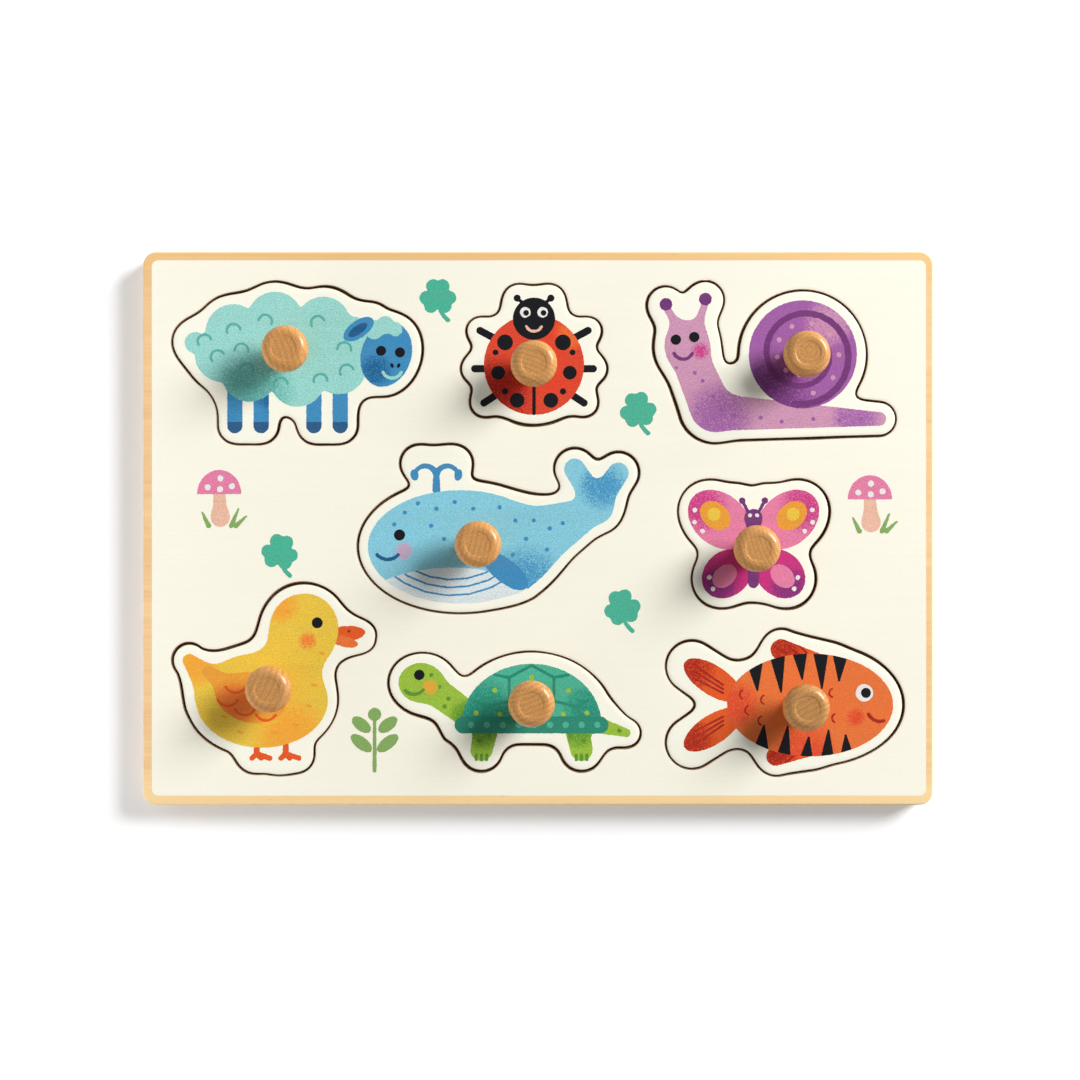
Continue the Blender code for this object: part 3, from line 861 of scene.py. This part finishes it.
def draw_duck():
    body = oval(-5, -10, 25, 18)
    tail = bar((-24, -4), 7, (-32.5, 5), 2.6)
    neck = bar((10, 12), 11, (2, -4), 13)
    head = disc(11, 17.5, 13)
    bill = oval(27.5, 14.5, 7, 3.8, -6)
    feet, webs = [], []
    for x in (-7, 4):
        feet += [bar((x, -26), 1.6, (x, -31), 1.6), bar((x - 1, -31), 1.7, (x + 5, -31.5), 1.7)]
        webs.append(bar((x, -25), 1.15, (x, -30.4), 1.15))
        webs += [bar((x, -30.4), 1.1, (x + dx, -32), 1.0) for dx in (-1.8, 1.6, 5.0)]
    outline = [body, tail, neck, head, bill] + feet
    wing = [oval(-9, -9, 13.5, 9.5, -12), bar((-18, -5), 4.4, (-25.5, 1), 2.2)]
    feathers = ((-18, -8), (-11.5, -11.5), (-3.5, -13.5), (-15, -3))
    tufts = ((-1, -22), (7, -19), (12, -12), (14, -4), (17, 8), (4, 24), (-14, -22), (-20, -16))
    return outline, [
        fill(webs, "deep_orange"),
        fill(oval(27, 15.3, 7.2, 2.9, 4), "deep_orange"),
        fill(oval(26.2, 12.3, 5.4, 2.0, -14), "orange"),
        fill(
            blended([body, tail, neck, head], 4.0), "yellow",
            (6, -24, 14, "amber"), (-30, 3, 8, "amber"), (2, 26, 7, "amber"),
        ),
        fill(blended(wing, 3.0), "amber", (-16, -12, 9, "orange")),
        fill([arc(x, y, 4.2, 205, 330, 1.0) for x, y in feathers], "deep_orange"),
        fill([bar((x, y), 0.42, (x + 1.5, y - 0.4), 0.42) for x, y in tufts], "amber"),
        cheek(12.4, 12.6, 3.6, "yellow", "orange"),
        fill(disc(16, 19.4, 2.05), "black"),
        fill(disc(28, 16.2, 0.6), "dark_red"),
    ]


def draw_turtle():
    shell = above(-10, oval(5, -10, 28, 24))
    rim = bar((-21, -10), 3.2, (31, -10), 3.2)
    neck = bar((-18, -7), 5, (-33, 4), 5.5)
    head = oval(-37, 6, 8.5, 7.5)
    tail = bar((30, -10), 3.2, (41, -13), 1.6)
    legs = [bar((x, -10), 4.8, (x + lean, -19.5), 4.2) for x, lean in ((-12, -2), (22, 2))]
    outline = [shell, rim, neck, head, tail] + legs
    dome = above(-8.6, oval(5, -10, 26.6, 23.2))
    seams = (
        [(-3.5, 8), (5, 12.6), (13.5, 8), (13.5, -1), (5, -5.4), (-3.5, -1), (-3.5, 8)],
        [(-3.5, 8), (-9, 9)], [(13.5, 8), (19, 9)],
        [(-3.5, -1), (-12, -3), (-15, -9)], [(13.5, -1), (22, -3), (25, -9)],
        [(-12, -3), (-16.5, -1)], [(22, -3), (26.5, -1)],
    )
    dome_seams = common(dome, together(*[stroke(points, 1.1) for points in seams]))
    toes = [(x + dx, -21.4) for x in (-14, 24) for dx in (-2, 0, 2)]
    freckles = [
        (-30, 4.5), (-26.5, 0), (-28, -3), (-11, -14), (-15, -16), (20, -14), (25, -16),
        (38.4, -12.2), (-33, 9),
    ]
    shell_dots = [
        (5, 8), (0, 3.6), (10, 3.6), (-9, 3), (19, 3), (-7, -6), (17, -6), (5, -8), (-16, -5.5),
        (26, -5.5),
    ]
    return outline, [
        fill(
            blended([neck, head, tail] + legs, 3.0), "green",
            (-13, -12, 7, "dark_green"), (23, -12, 7, "dark_green"), (-20, -6, 6, "dark_green"),
        ),
        fill(dome, "teal", (-14, -4, 12, "dark_teal"), (26, -4, 9, "dark_teal")),
        fill(dome_seams, "dark_teal"),
        fill(dots(shell_dots, 0.95), "green"),
        fill(rim, "dark_teal"),
        fill(dots([(x, -10) for x in range(-18, 31, 6)], 1.2), "teal"),
        fill([bar((x, y), 0.55, (x, y - 1.8), 0.55) for x, y in toes], "dark_green"),
        fill(dots(freckles, 0.75), "dark_green"),
        cheek(-33.5, 4.3, 3.2, "green", "amber"),
        fill(disc(-37.6, 9, 1.95), "black"),
        fill(arc(-39.6, 6, 4.4, 222, 322, 1.2), "dark_green"),
    ]


def draw_fish():
    body = oval(8, 0, 31.5, 19.5)
    tail = [bar((-18, 2 * side), 6.5, (-37, 14.5 * side), 6) for side in (-1, 1)]
    back_fin = bar((12, 13), 6, (-3, 21), 4)
    belly_fin = bar((6, -15), 5, (-5, -19.5), 3.6)
    outline = [body, back_fin, belly_fin] + tail
    tail_print = blended([oval(-29, 9.4 * side, 12.6, 5.6, -33 * side) for side in (-1, 1)], 3.0)
    fins = together(back_fin, belly_fin)
    ray_ends = []
    for side in (-1, 1):
        for dy in (-2.6, 0, 2.6):
            ray_ends.append([(-25, 6 * side + dy * 0.6), (-36.5, 13 * side + dy)])
    for i in range(3):
        ray_ends.append([(7 - 4 * i, 19.4 + 0.2 * i), (2.5 - 4 * i, 24 - i)])
        ray_ends.append([(3 - 4 * i, -18.4), (-1.5 - 4 * i, -22 + 0.6 * i)])
    rays = together(*[stroke(points, 0.9, 0.5) for points in ray_ends])
    stripes = []
    for x, depth, lean in ((-13, 9, 1), (-4.5, 13, 1.5), (4, 9.5, 1), (12, 13, 0.5), (19.5, 9, -0.5)):
        edge = 19.5 * math.sqrt(1 - ((x - 8) / 31.5) ** 2)
        stripes.append(bar((x, edge + 1.5), 3.1, (x + lean, edge - depth), 0.35))
        stripes.append(bar((x + 2.5, -edge - 1.5), 2.7, (x + 2.5 + lean, -edge + 0.75 * depth), 0.35))
    scales = ((-9, 2), (-15, -2), (-10, -6), (17, 4.6), (18, -5), (-17, 4))
    return outline, [
        fill(tail_print, "deep_orange", (-38, 15, 10, "dark_red"), (-38, -15, 10, "dark_red")),
        fill(fins, "deep_orange", (-2, 22, 8, "dark_red"), (-4, -20, 7, "dark_red")),
        fill(common(rays, together(tail_print, fins)), "dark_red"),
        fill(body, "orange", (6, -19, 12, "red"), (-20, 0, 9, "red")),
        fill(common(body, together(*stripes)), "black"),
        fill([arc(x, y, 1.7, 110, 250, 0.7) for x, y in scales], "dark_red"),
        cheek(25.4, -4.6, 3.6, "orange", "red"),
        fill(disc(28.6, 4.6, 3.3), "white"),
        fill(disc(29.2, 4.6, 1.9), "black"),
        fill(arc(34.4, -1.6, 4.6, 205, 290, 1.25), "dark_red"),
    ]


FIGURES = {
    "sheep": (draw_sheep, 200),
    "ladybird": (draw_ladybird, 95),
    "snail": (draw_snail, 20),
    "whale": (draw_whale, 250),
    "butterfly": (draw_butterfly, 160),
    "duck": (draw_duck, 300),
    "turtle": (draw_turtle, 60),
    "fish": (draw_fish, 230),
}


# The small motifs between the figures.


def clover(x, y, lean):
    """Three round leaves on a curved stalk."""
    leaves = []
    for turn in (90 + lean, 210 + lean, 330 + lean):
        away = math.radians(turn)
        for split in (-1, 1):
            leaves.append(disc(*polar(4.4, away + 0.42 * split, x, y), 2.6))
        leaves.append(bar((x, y), 0.6, polar(3.2, away, x, y), 2.2))
    stalk = arc(x + 10, y - 1, 10, 184, 232, 1.3, 1.7)
    return together(blended(leaves, 0.8), disc(x, y, 3.2), stalk)


def mushroom(x, y):
    """The shapes of a mushroom's stem, its cap, the cap's dots and the grass at its foot."""
    stem = blended([bar((x, y + 1), 2.2, (x + 0.4, y - 9), 2.9), disc(x + 0.4, y - 8.6, 3.4)], 2.0)
    cap = above(y, oval(x, y, 8.4, 9.2))
    spots = dots([(x - 4.4, y + 2.6), (x + 0.4, y + 6), (x + 4.8, y + 3), (x + 0.3, y + 1.9)], 1.15)
    grass = [
        stroke([(x + dx, y - 12), (x + 1.6 * dx, y - 12 + size)], 1.9, 0.7)
        for dx, size in ((-4, 5), (4.6, 6.5), (6.4, 3.6))
    ]
    return stem, cap, spots, together(*grass)


def sprout(x, y):
    """Two pairs of round leaves on a stem."""
    leaves = []
    for level, size in ((3.5, 4.2), (-3.5, 4.8)):
        for side in (-1, 1):
            leaves.append(oval(x + 5 * side, y + level + 2, size, 2.3, 38 * side))
    return together(*leaves, disc(x, y + 9.4, 2.5), bar((x, y + 8), 0.6, (x, y - 12), 0.75))


MUSHROOMS = ((-121, 13), (126, 11))
CLOVERS = ((-38, 88, 0), (32, -30, 12), (-98, -9, -10), (38, 45, 8))
SPROUT = (-62, -80)


def board_inks():
    stems, caps, spots, grass = zip(*[mushroom(x, y) for x, y in MUSHROOMS])
    return [
        fill(stems, "peach"),
        fill(caps, "pink"),
        fill(spots, "white"),
        fill(grass, "leaf"),
        fill([clover(*place) for place in CLOVERS], "teal"),
        fill(sprout(*SPROUT), "leaf"),
    ]


# The boards, the figures, the knobs and the screws.


def middle_of(node):
    low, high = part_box(node)
    return Vector((low[0] + high[0], low[1] + high[1])) / 2 / MM


def levels_of(node):
    low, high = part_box(node)
    return low[2] / MM, high[2] / MM


def size_of(node):
    return [(after - before) / MM for before, after in zip(*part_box(node))]


def put(piece, body, slot, *nodes):
    """Rides the piece on its body and hides the nodes that it stands for. The slot is not used."""
    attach(piece, body)
    if nodes:
        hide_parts(*nodes)


def quarter_turn(steps):
    """The directions from 0 to a quarter turn, in that many equal steps."""
    return [math.pi / 2 * i / steps for i in range(steps + 1)]


def rounded(top, rounding, surface, burn=0.0):
    """The rings of a rounded upper edge, from the top face to the side."""
    width, depth = rounding
    rings = []
    for turn in quarter_turn(9):
        inset, drop = width * (1 - math.sin(turn)), depth * (1 - math.cos(turn))
        rings.append(Ring(-inset, top - drop, surface, burn * scorched(inset)))
    return rings


def fallen(crown, distance):
    """How far a crowned top has fallen at a distance from its edge."""
    width, depth = crown
    return depth * max(0.0, 1 - distance / width) ** 2


def crowned(top, crown, rounding, surface):
    """The rings of a scorched top that falls gently towards a rounded edge."""
    steps = 8
    insets = [crown[0] + (rounding[0] - crown[0]) * i / steps for i in range(steps)]
    rings = [Ring(-inset, top, surface, scorched(inset)) for inset in insets]
    rings += rounded(top, rounding, surface, 1.0)
    return [ring._replace(height=ring.height - fallen(crown, -ring.outset)) for ring in rings]


def rounded_below(bottom, radius, surface):
    """The rings of a rounded lower edge, from the side to the bottom face."""
    return [
        Ring(-radius * (1 - math.cos(turn)), bottom + radius * (1 - math.sin(turn)), surface)
        for turn in quarter_turn(3)
    ]


def scorched(distance):
    """How much the cut has browned the face at a distance from its edge, up to 1."""
    halo = max(0.0, 1 - distance / BURN_WIDTH)
    char = max(0.0, 1 - distance / CHAR_WIDTH)
    return min(1.0, 0.42 * halo**2 + 1.3 * char)


def rectangle(half_length, half_width, radius):
    """A rounded rectangle about the origin, anticlockwise."""
    line = []
    arc_points = max(3, round(radius * math.pi / 2 / PLATE_PITCH))
    for quarter, (side_x, side_y) in enumerate(((1, 1), (-1, 1), (-1, -1), (1, -1))):
        centre = Vector((side_x * (half_length - radius), side_y * (half_width - radius)))
        for i in range(arc_points + 1):
            turn = math.pi / 2 * (quarter + i / arc_points)
            line.append(centre + Vector(polar(1.0, turn)) * radius)
    return evened(line, 2 * PLATE_PITCH, rounds=0)


def ring_line(middle, radius, count):
    turns = [math.tau * i / count for i in range(count)]
    return [middle + Vector(polar(1.0, turn)) * radius for turn in turns]


def make_figure(name, seed):
    """One figure's plywood and print. Returns the line of its cut-out."""
    draw, rests_towards = FIGURES[name]
    shapes, inks = draw()
    outline = grown(blended(shapes, HOLLOW_BLEND), PRINT_MARGIN)
    reach = Vector((FIGURE_REACH, FIGURE_REACH))
    lines = level_lines(outline, -reach, reach, PLATE_PITCH)
    line = evened(max(lines, key=len), PLATE_PITCH)
    low = Vector((min(p.x for p in line), min(p.y for p in line)))
    high = Vector((max(p.x for p in line), max(p.y for p in line)))
    node = name + "_piece"
    place = middle_of(node) - (low + high) / 2
    bottom, top = levels_of(node)

    edge = wobbled([point + place for point in line], FIGURE_WOBBLE, seed)
    rings = crowned(top, FIGURE_CROWN, FIGURE_ROUNDING, 0)
    rings[-1] = rings[-1]._replace(surface=1)
    rings += rounded_below(bottom, FIGURE_LOWER_ROUNDING, 1)
    hole = ring_line(middle_of(name + "_knob"), SCREW_HOLE_RADIUS, HOLE_SIDES)
    widening = SCREW_HEAD_HOLE_RADIUS - SCREW_HOLE_RADIUS
    hole_rings = [
        Ring(0.0, top, 2),
        Ring(0.0, bottom + SCREW_HEAD_HOLE_DEPTH + SCREW_CONE_HEIGHT, 2),
        Ring(-widening, bottom + SCREW_HEAD_HOLE_DEPTH, 2),
        Ring(-widening, bottom, 2),
    ]
    surfaces = [MARGIN, BURNT, BIRCH]
    wood = plate(node + "_wood", [(edge, rings, False), (hole, hole_rings, True)], surfaces)
    put(wood, name, name + "_print", node)

    inked = print_inks(name + "_inks", inks, low, high, place, top)
    put(inked, name, name + "_print")

    towards = Vector(polar(1.0, math.radians(rests_towards)))
    back = towards * (-REST_SHARE * RECESS_CLEARANCE)
    recess = [
        point + normal * (RECESS_CLEARANCE + KERF_SPARE) + place + back
        for point, normal in zip(line, outward(line))
    ]
    return wobbled(recess, RECESS_WOBBLE, seed + RECESS_SEEDS)


def make_boards(recesses):
    half_length, half_width = (side / 2 for side in size_of("front_board")[:2])
    bottom, top = levels_of("front_board")
    edge = rectangle(half_length, half_width, BOARD_CORNER_RADIUS)
    sides = rounded(top, BOARD_ROUNDING, 0)
    sides[-1] = sides[-1]._replace(surface=1)
    sides += [Ring(0.0, bottom, 3)]
    crown_width, crown_depth = BOARD_CROWN
    walls = [
        Ring(-crown_width, top), Ring(0.0, top - crown_depth, 2, 1.0), Ring(0.0, bottom, 2, 1.0),
    ]
    surfaces = [BORDER_WOOD, FRONT_EDGE, BURNT, BIRCH]
    edges = [(edge, sides, False)] + [(line, walls, True) for line in recesses]
    put(plate("front_board_wood", edges, surfaces), "board", "birch_plywood", "front_board")

    ground_edge = rectangle(half_length - BORDER[0], half_width - BORDER[1], GROUND_CORNER_RADIUS)
    ground_edge = [point + PRINT_SHIFT for point in wobbled(ground_edge, PRINT_WOBBLE, PRINT_SEED)]
    outer = [Ring(0.0, top + INK_STEP), Ring(0.0, top - INK_SINK)]
    inner = []
    for inset in (crown_width, *GROUND_INSETS):
        height = top + INK_STEP - fallen(BOARD_CROWN, inset)
        inner.append(Ring(-inset, height, burn=scorched(inset)))
    inner += [inner[-1]._replace(height=inner[-1].height - INK_SINK)]
    edges = [(ground_edge, outer, False)] + [(line, inner, True) for line in recesses]
    put(plate("printed_ground", edges, [GROUND]), "board", "printed_birch")

    low, high = (-half_length, -half_width), (half_length, half_width)
    motifs = print_inks("board_motifs", board_inks(), low, high, Vector((0, 0)), top + INK_STEP)
    put(motifs, "board", "printed_birch")

    bottom, top = levels_of("backing_board")
    sides = [Ring(0.0, top, 1)] + rounded_below(bottom, BOARD_ROUNDING[1], 1)
    backing = plate("backing_board_wood", [(edge, sides, False)], [BIRCH, BACKING_EDGE, BIRCH])
    put(backing, "board", "birch_plywood", "backing_board")


def knob_profile(radius, height):
    """The knob's outer side from the middle of its top to its foot, in millimetres."""
    rim_top = KNOB_RIM_LEVEL + KNOB_RIM_THICKNESS
    inner, ridge = 0.76 * KNOB_TOP_RADIUS, 0.9 * KNOB_TOP_RADIUS
    profile = [(0.0, height - KNOB_TOP_DISH), (0.5 * inner, height - KNOB_TOP_DISH)]
    for i in range(9):
        share = i / 8
        sag = KNOB_TOP_DISH * (1 + math.cos(math.pi * share)) / 2
        profile.append((inner + (ridge - inner) * share, height - sag))
    for turn in quarter_turn(16):
        bulge, rise = (radius - KNOB_TOP_RADIUS) * math.sin(turn), (height - rim_top) * math.cos(turn)
        profile.append((KNOB_TOP_RADIUS + bulge, rim_top + rise))
    profile.append((radius, KNOB_RIM_LEVEL + KNOB_RIM_EASE))
    for i in range(29):
        share = i / 28
        widest = radius if share < 0.5 else KNOB_FOOT_RADIUS
        swell = (widest - KNOB_NECK_RADIUS) * (1 + math.cos(math.tau * share)) / 2
        level = KNOB_FOOT_THICKNESS + (KNOB_RIM_LEVEL - KNOB_FOOT_THICKNESS) * (1 - share)
        profile.append((KNOB_NECK_RADIUS + swell, level))
    profile += [(KNOB_FOOT_RADIUS, KNOB_FOOT_EASE), (KNOB_FOOT_RADIUS - KNOB_FOOT_EASE, 0.0)]
    return profile + [(0.0, 0.0)]


def turned(name, profile, sides, surface):
    """A solid of revolution about Z, whose profile runs from the axis down and back to it."""
    solid = bmesh.new()
    rings = []
    for radius, height in profile:
        ring = []
        for i in range(sides if radius else 1):
            place = polar(radius * MM, math.tau * i / sides)
            ring.append(solid.verts.new((*place, height * MM)))
        rings.append(ring)
    for upper, lower in zip(rings, rings[1:]):
        for i in range(sides):
            corners = [upper[i % len(upper)], lower[i % len(lower)]]
            corners += [lower[(i + 1) % len(lower)], upper[(i + 1) % len(upper)]]
            face = solid.faces.new(list(dict.fromkeys(corners)))
            face.smooth = True
    bmesh.ops.recalc_face_normals(solid, faces=solid.faces)
    return finished(name, solid, [surface])


# Each knob's growth rings: the pith's distance and direction, their spacing and the wood's tone.
KNOB_WOOD = {
    "sheep": (0.046, 200, 0.0021, 1.05),
    "ladybird": (0.030, 250, 0.0017, 1.0),
    "snail": (0.0012, 80, 0.0016, 1.0),
    "whale": (0.052, 165, 0.0019, 1.04),
    "butterfly": (0.040, 20, 0.0016, 1.02),
    "duck": (0.036, 155, 0.0022, 0.98),
    "turtle": (0.044, 110, 0.0018, 1.0),
    "fish": (0.033, 300, 0.0020, 0.86),
}


def make_knob(name):
    node = name + "_knob"
    bottom, top = levels_of(node)
    radius = size_of(node)[0] / 2
    middle = middle_of(node)
    distance, direction, spacing, tone = KNOB_WOOD[name]
    pith = polar(distance, math.radians(direction))
    surface = beech(name + "_beech", pith, tone, spacing)
    knob = turned(node + "_turned", knob_profile(radius, top - bottom), KNOB_SIDES, surface)
    knob.location = (middle.x * MM, middle.y * MM, bottom * MM)
    put(knob, name, "varnished_beech", node)


MARGIN = paper_material("figure_margin", "margin")
GROUND = paper_material("printed_ground", "ground")
BORDER_WOOD = bare_wood("border_wood", (0.96, 0.66, 0.35), (0.87, 0.54, 0.25), BORDER_STRIPS)
BIRCH = bare_wood("bare_birch", (0.86, 0.65, 0.40), (0.74, 0.51, 0.28))
BURNT = burnt_edge()
FRONT_EDGE = ply_edge("front_board_edge", *levels_of("front_board"), 5)
BACKING_EDGE = ply_edge("backing_board_edge", *levels_of("backing_board"), 3)
ZINC = zinc()

recesses = []
for index, figure in enumerate(FIGURES):
    recesses.append(make_figure(figure, FIRST_FIGURE_SEED + index))
    make_knob(figure)
    for node_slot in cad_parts[figure + "_screw"].material_slots:
        node_slot.material = ZINC
make_boards(recesses)


# The floor, the light and the camera.


def shown(tree):
    """1 for a ray by which the camera sees a surface, also in a mirror or through glass."""
    rays = tree.nodes.new("ShaderNodeLightPath")
    result = rays.outputs["Is Camera Ray"]
    for kind in ("Is Glossy Ray", "Is Transmission Ray"):
        either = tree.nodes.new("ShaderNodeMath")
        either.operation = "MAXIMUM"
        tree.links.new(result, either.inputs[0])
        tree.links.new(rays.outputs[kind], either.inputs[1])
        result = either.outputs[0]
    return result


def make_floor():
    mesh = bpy.data.meshes.new("floor")
    corners = [(x * FLOOR_HALF, y * FLOOR_HALF, 0) for x, y in ((-1, -1), (1, -1), (1, 1), (-1, 1))]
    mesh.from_pydata(corners, [], [(0, 1, 2, 3)])
    surface = Surface("floor_surface", 0.9, 0.0)
    surface.set("Base Color", rgba((0.95, 0.95, 0.95)))
    whitening = surface.spread(surface.distance_from(0, 0), 0.3, 0.6, 0.2, 1.0)
    surface.set("Emission Color", rgba((1.0, 1.0, 1.0)))
    surface.set("Emission Strength", surface.maths("MULTIPLY", shown(surface.tree), whitening))
    mesh.materials.append(surface.material)
    placed("floor", mesh, (0.0, 0.0, -FLOOR_DROP))


def make_world():
    world = bpy.data.worlds.new("studio")
    world.use_nodes = True
    nodes, links = world.node_tree.nodes, world.node_tree.links
    background = nodes["Background"]
    level = nodes.new("ShaderNodeMapRange")
    level.inputs["To Min"].default_value = AMBIENT
    links.new(shown(world.node_tree), level.inputs["Value"])
    links.new(level.outputs["Result"], background.inputs["Strength"])
    background.inputs["Color"].default_value = (1.0, 1.0, 1.0, 1.0)
    bpy.context.scene.world = world


def add_area(name, place, size, power, target=(0.0, 0.0, 0.0), shines=True):
    lamp = bpy.data.lights.new(name, "AREA")
    lamp.shape = "RECTANGLE"
    lamp.size, lamp.size_y = size
    lamp.energy = power
    thing = placed(name, lamp, place)
    thing.rotation_euler = (Vector(target) - Vector(place)).to_track_quat("-Z", "Y").to_euler()
    thing.visible_glossy = shines


def add_key():
    """A large softbox far beyond the upper right corner, whose light comes in low."""
    turn, rise, distance = math.radians(31), math.radians(25.3), 2.4
    level, height = polar(distance, rise)
    add_area("key", (*polar(level, turn), height), size=(1.0, 1.0), power=96.5)


def make_camera():
    height = 0.650  # above the board's top face
    frame_width = 0.410  # what the photograph's width takes in at that face
    camera = bpy.data.cameras.new("camera")
    camera.sensor_width = 36.0
    camera.lens = camera.sensor_width * height / frame_width
    aim = (0.00076, -0.0044)  # where the photograph has its middle
    board_top = levels_of("front_board")[1] * MM
    bpy.context.scene.camera = placed("camera", camera, (*aim, board_top + height))


make_floor()
make_world()
add_key()
# Two low cards that throw light back on the sides turned from the key, one near and one far.
card_level = 0.06
card = (-0.31, 0.0, card_level)
add_area("card", card, size=(0.6, 0.1), power=0.385, target=(0.0, 0.0, card_level), shines=False)
add_area("far_card", (-0.6, -0.45, 0.08), size=(0.6, 0.14), power=2.3, shines=False)
make_camera()
bpy.context.scene.view_settings.view_transform = "Standard"
